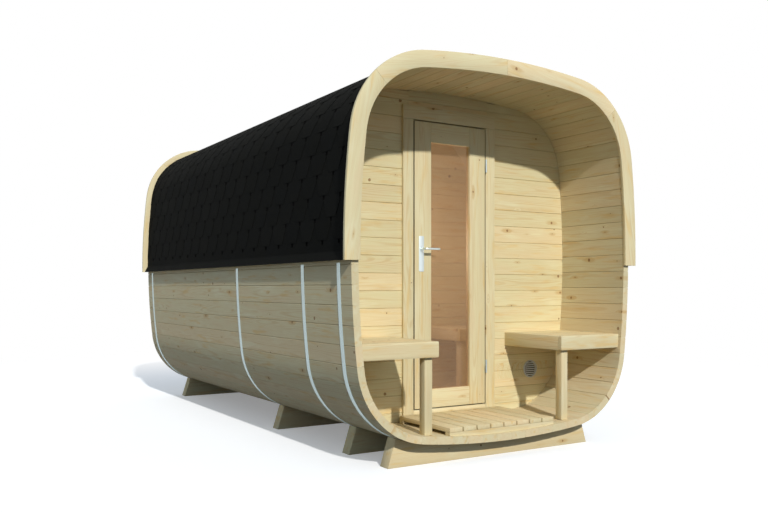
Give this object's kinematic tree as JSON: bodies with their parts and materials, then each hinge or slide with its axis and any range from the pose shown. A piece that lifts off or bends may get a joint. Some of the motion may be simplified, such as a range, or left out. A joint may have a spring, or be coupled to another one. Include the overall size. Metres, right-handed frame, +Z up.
{
  "type": "cube sauna",
  "caption": "Timber sauna cabin of staves with a rounded square section on cradles, with a benched open porch, a glazed door that swings outwards, hoop bands and a shingled top.",
  "frame": {"origin": "on the ground, under the middle of the shell's length and width", "axes": "+Z up, the open porch faces -Y, +Y runs to the rear wall, +X is to the right seen from the porch"},
  "size_m": [2.2936, 4.0404, 2.457],
  "materials": {
    "shell_spruce": "sawn and planed, unpainted",
    "fascia_spruce": "planed, unpainted",
    "shingle": "matt mineral granules on bitumen",
    "band_steel": "satin stainless",
    "cradle_spruce": "sawn, unpainted",
    "wall_spruce": "planed boards, unpainted",
    "trim_spruce": "planed, unpainted",
    "door_spruce": "planed, unpainted",
    "tinted_glass": "bronze tinted, clear",
    "handle_steel": "satin stainless",
    "vent_metal": "light grey, satin",
    "bench_spruce": "planed, unpainted",
    "duckboard_spruce": "planed, unpainted"
  },
  "bodies": {
    "cabin": {"floor_staves": "shell_spruce", "ceiling_staves": "shell_spruce", "left_wall_staves": "shell_spruce", "right_wall_staves": "shell_spruce", "upper_left_corner_staves": "shell_spruce", "upper_right_corner_staves": "shell_spruce", "lower_left_corner_staves": "shell_spruce", "lower_right_corner_staves": "shell_spruce", "front_fascia": "fascia_spruce", "rear_fascia": "fascia_spruce", "roof_cover_left": "shingle", "roof_cover_left_corner": "shingle", "roof_cover_top": "shingle", "roof_cover_right_corner": "shingle", "roof_cover_right": "shingle", "hoop_bands": "band_steel", "front_cradle": "cradle_spruce", "porch_wall_cradle": "cradle_spruce", "inner_wall_cradle": "cradle_spruce", "rear_cradle": "cradle_spruce", "porch_wall_left": "wall_spruce", "porch_wall_right": "wall_spruce", "porch_wall_head": "wall_spruce", "porch_wall_sill": "wall_spruce", "inner_wall_left": "wall_spruce", "inner_wall_right": "wall_spruce", "inner_wall_head": "wall_spruce", "rear_wall": "wall_spruce", "door_frame": "trim_spruce", "door_casing": "trim_spruce", "frame_hinge_leaves": "handle_steel", "vent_grille": "vent_metal", "left_bench_seat": "bench_spruce", "left_bench_frame": "bench_spruce", "right_bench_seat": "bench_spruce", "right_bench_frame": "bench_spruce", "room_bench_seat": "bench_spruce", "room_bench_frame": "bench_spruce", "duckboard": "duckboard_spruce"},
    "door": {"door_stiles": "door_spruce", "door_rails": "door_spruce", "door_glass": "tinted_glass", "door_hinge_leaves": "handle_steel", "handle_plates": "handle_steel"},
    "lever": {"door_lever": "handle_steel"}
  },
  "joints": [
    {"name": "door_hinge", "type": "hinge", "parent": "cabin", "child": "door", "pos_m": [0.299, -1.44, 1.2], "axis": [0, 0, 1], "range_deg": [0, 100]},
    {"name": "lever_turn", "type": "hinge", "parent": "door", "child": "lever", "pos_m": [-0.241, -1.43, 1.306], "axis": [0, 1, 0], "range_deg": [0, 40], "stiffness_Nm_per_rad": 1.6, "springref_deg": -34.38}
  ]
}
